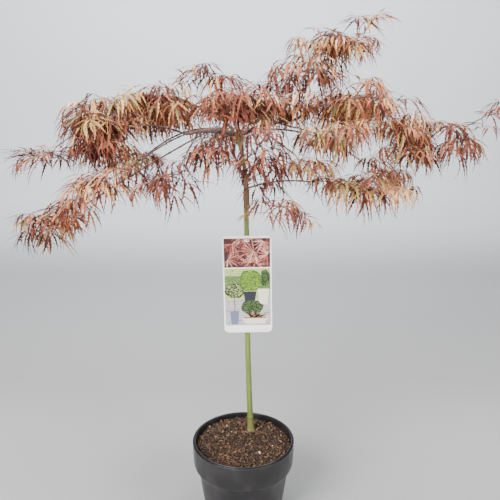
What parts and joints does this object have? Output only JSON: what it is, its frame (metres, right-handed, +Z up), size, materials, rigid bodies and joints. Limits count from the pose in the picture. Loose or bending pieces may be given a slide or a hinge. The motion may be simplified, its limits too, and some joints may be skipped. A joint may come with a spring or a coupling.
{
  "type": "potted japanese maple",
  "caption": "Young weeping laceleaf maple on a tall bare stem, an open umbrella of finely cut rust-red leaves, in a black nursery pot with a hanging picture label",
  "frame": {"origin": "the middle of the pot's flat underside, where it stands on the ground", "axes": "+Z up the stem from the ground, +X to the right and +Y to the back, with the label facing -Y"},
  "size_m": [0.8546, 0.4986, 0.911],
  "materials": {
    "pot_plastic": "satin",
    "potting_mix": "rough",
    "stem_bark": "satin",
    "bough_bark": "matte",
    "leaves_rust": "matte",
    "leaves_wine": "matte",
    "leaves_tan": "matte",
    "label_card": "satin",
    "label_strap": "satin"
  },
  "bodies": {
    "root": {"bough_back_hanging": "bough_bark", "bough_back_left": "bough_bark", "bough_back_low_left": "bough_bark", "bough_back_low_right": "bough_bark", "bough_back_middle": "bough_bark", "bough_back_right": "bough_bark", "bough_front_hanging": "bough_bark", "bough_inner_left": "bough_bark", "bough_left_hanging": "bough_bark", "bough_left_low_tip": "bough_bark", "bough_left_lower": "bough_bark", "bough_left_outer": "bough_bark", "bough_left_tip": "bough_bark", "bough_left_upper": "bough_bark", "bough_middle_front": "bough_bark", "bough_right_arch": "bough_bark", "bough_right_inner": "bough_bark", "bough_right_low": "bough_bark", "bough_right_middle": "bough_bark", "bough_right_tip": "bough_bark", "bough_upper_left": "bough_bark", "bough_upper_right": "bough_bark", "label_card": "label_card", "label_strap": "label_strap", "leaves_back_hanging": "leaves_wine", "leaves_back_left": "leaves_rust", "leaves_back_low": "leaves_wine", "leaves_back_low_left": "leaves_rust", "leaves_back_low_right": "leaves_rust", "leaves_back_middle": "leaves_rust", "leaves_back_outer_left": "leaves_rust", "leaves_back_outer_right": "leaves_rust", "leaves_back_right": "leaves_tan", "leaves_front_hanging": "leaves_wine", "leaves_front_low_tip": "leaves_rust", "leaves_inner_left": "leaves_wine", "leaves_left_hanging": "leaves_wine", "leaves_left_low_tip": "leaves_wine", "leaves_left_lower": "leaves_rust", "leaves_left_outer": "leaves_rust", "leaves_left_tip": "leaves_tan", "leaves_left_upper": "leaves_rust", "leaves_middle_front": "leaves_rust", "leaves_middle_right": "leaves_rust", "leaves_right_arch": "leaves_rust", "leaves_right_inner": "leaves_rust", "leaves_right_low": "leaves_tan", "leaves_right_middle": "leaves_rust", "leaves_right_outer": "leaves_rust", "leaves_right_shoulder": "leaves_rust", "leaves_right_tip": "leaves_tan", "leaves_top_right": "leaves_tan", "leaves_top_tip": "leaves_tan", "leaves_upper_left": "leaves_rust", "leaves_upper_right": "leaves_tan", "limb_left": "bough_bark", "limb_right": "bough_bark", "pot": "pot_plastic", "soil": "potting_mix", "stem": "stem_bark"}
  },
  "joints": []
}
